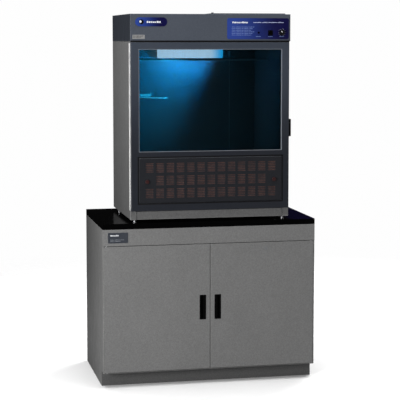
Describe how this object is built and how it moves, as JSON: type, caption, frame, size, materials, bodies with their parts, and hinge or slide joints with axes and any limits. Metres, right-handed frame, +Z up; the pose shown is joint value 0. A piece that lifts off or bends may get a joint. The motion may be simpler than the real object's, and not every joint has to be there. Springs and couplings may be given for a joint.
{
  "type": "drying cabinet on base cabinet",
  "caption": "Bench drying cabinet with windowed door, filtered air inlet and slotted exhaust head, on a two-door steel base with a black top.",
  "frame": {"origin": "on the floor, in the middle of the whole outline", "axes": "+X to the right seen from the front, +Y to the back, +Z up"},
  "size_m": [1.2192, 0.7336, 2.094],
  "materials": {
    "cabinet_grey": "satin powder coat",
    "inner_grey": "satin powder coat",
    "slate_blue": "satin powder coat",
    "black_worktop": "smooth cast resin",
    "black_plastic": "fine grain",
    "blank_plate": "satin",
    "blue_badge": "domed resin",
    "control_panel": "printed film",
    "bright_steel": "brushed",
    "bolt_chrome": "bright zinc",
    "window_glass": "clear toughened",
    "trim_grey": "satin",
    "seal_rubber": "matte",
    "media_red": "open fibre pad",
    "knob_red": "moulded",
    "lamp_metal": "zinc plated",
    "lamp_white": "opal diffuser",
    "motor_black": "satin",
    "filter_frame": "plated frame with pleated pack"
  },
  "bodies": {
    "cabinet": {"base_left_side": "cabinet_grey", "base_right_side": "cabinet_grey", "base_back": "cabinet_grey", "base_deck": "cabinet_grey", "base_toe_kick": "cabinet_grey", "base_apron": "cabinet_grey", "cabinet_left_side": "cabinet_grey", "cabinet_right_side": "cabinet_grey", "cabinet_rear": "cabinet_grey", "cabinet_floor": "cabinet_grey", "sill_panel": "cabinet_grey", "base_shelf": "inner_grey", "liner_left": "inner_grey", "liner_right": "inner_grey", "liner_back": "inner_grey", "liner_floor": "inner_grey", "liner_ceiling": "inner_grey", "head_shell": "slate_blue", "head_lid": "slate_blue", "worktop": "black_worktop", "rocker_bezel": "black_plastic", "power_socket": "black_plastic", "base_door_catches": "black_plastic", "base_nameplate": "blank_plate", "badge": "blue_badge", "control_plate": "control_panel", "hanging_rod": "bright_steel", "side_shelf": "bright_steel", "hinge_frame_leaf": "bright_steel", "base_hinge_pins": "bright_steel", "base_shelf_clips": "bright_steel", "door_seal": "seal_rubber", "lamp_housing": "lamp_metal", "filter_box": "lamp_metal", "blower_housing": "lamp_metal", "lamp_lens": "lamp_white", "blower_motor": "motor_black", "exhaust_filter": "filter_frame"},
    "left_door": {"left_door": "cabinet_grey", "left_door_pull": "black_plastic"},
    "right_door": {"right_door": "cabinet_grey", "right_door_pull": "black_plastic"},
    "chamber_door": {"chamber_door_frame": "slate_blue", "window_pane": "window_glass", "window_trim": "trim_grey", "hinge_door_leaf": "bright_steel", "chamber_pull": "black_plastic"},
    "inlet_panel": {"grille_panel": "slate_blue", "filter_media": "media_red"},
    "inlet_knob_left": {"grille_knob_left": "knob_red"},
    "inlet_knob_right": {"grille_knob_right": "knob_red"},
    "lamp_rocker": {"rocker_switch": "black_plastic"},
    "timer": {"timer_knob": "black_plastic"},
    "blower_rotor": {"blower_wheel": "lamp_metal"},
    "exhaust_cover": {"filter_cover": "slate_blue"},
    "exhaust_screw": {"cover_screw": "bolt_chrome"},
    "foot_front_left": {"foot_front_left": "bolt_chrome"},
    "foot_front_right": {"foot_front_right": "bolt_chrome"},
    "foot_back_left": {"foot_back_left": "bolt_chrome"},
    "foot_back_right": {"foot_back_right": "bolt_chrome"}
  },
  "joints": [
    {"name": "chamber_door_hinge", "type": "hinge", "parent": "cabinet", "child": "chamber_door", "pos_m": [-0.4554, -0.32915, 1.4613], "axis": [0, 0, -1], "range_deg": [0, 110]},
    {"name": "left_door_hinge", "type": "hinge", "parent": "cabinet", "child": "left_door", "pos_m": [-0.589, -0.32615, 0.4435], "axis": [0, 0, -1], "range_deg": [0, 110]},
    {"name": "right_door_hinge", "type": "hinge", "parent": "cabinet", "child": "right_door", "pos_m": [0.589, -0.32615, 0.4435], "axis": [0, 0, 1], "range_deg": [0, 110]},
    {"name": "inlet_panel_pull_off", "type": "slide", "parent": "chamber_door", "child": "inlet_panel", "axis": [0, -1, 0], "range_m": [0, 0.08]},
    {"name": "inlet_knob_left_turn", "type": "hinge", "parent": "inlet_panel", "child": "inlet_knob_left", "pos_m": [-0.362, -0.35065, 1.1585], "axis": [0, 1, 0], "continuous": true},
    {"name": "inlet_knob_right_turn", "type": "hinge", "parent": "inlet_panel", "child": "inlet_knob_right", "pos_m": [0.362, -0.35065, 1.1585], "axis": [0, 1, 0], "continuous": true},
    {"name": "lamp_rocker_tilt", "type": "hinge", "parent": "cabinet", "child": "lamp_rocker", "pos_m": [0.338, -0.35185, 1.979], "axis": [1, 0, 0], "range_deg": [-16, 0]},
    {"name": "timer_turn", "type": "hinge", "parent": "cabinet", "child": "timer", "pos_m": [0.4046, -0.35185, 1.9813], "axis": [0, 1, 0], "range_deg": [0, 300]},
    {"name": "blower_spin", "type": "hinge", "parent": "cabinet", "child": "blower_rotor", "pos_m": [-0.22, -0.05665, 1.98], "axis": [0, 0, 1], "continuous": true},
    {"name": "exhaust_cover_lift", "type": "slide", "parent": "cabinet", "child": "exhaust_cover", "axis": [0, 0, 1], "range_m": [0, 0.1]},
    {"name": "exhaust_screw_turn", "type": "hinge", "parent": "exhaust_cover", "child": "exhaust_screw", "pos_m": [0.024, -0.27165, 2.088], "axis": [0, 0, 1], "continuous": true},
    {"name": "foot_front_left_turn", "type": "hinge", "parent": "cabinet", "child": "foot_front_left", "pos_m": [-0.425, -0.30165, 0.93], "axis": [0, 0, 1], "continuous": true},
    {"name": "foot_front_right_turn", "type": "hinge", "parent": "cabinet", "child": "foot_front_right", "pos_m": [0.425, -0.30165, 0.93], "axis": [0, 0, 1], "continuous": true},
    {"name": "foot_back_left_turn", "type": "hinge", "parent": "cabinet", "child": "foot_back_left", "pos_m": [-0.425, 0.25135, 0.93], "axis": [0, 0, 1], "continuous": true},
    {"name": "foot_back_right_turn", "type": "hinge", "parent": "cabinet", "child": "foot_back_right", "pos_m": [0.425, 0.25135, 0.93], "axis": [0, 0, 1], "continuous": true}
  ]
}
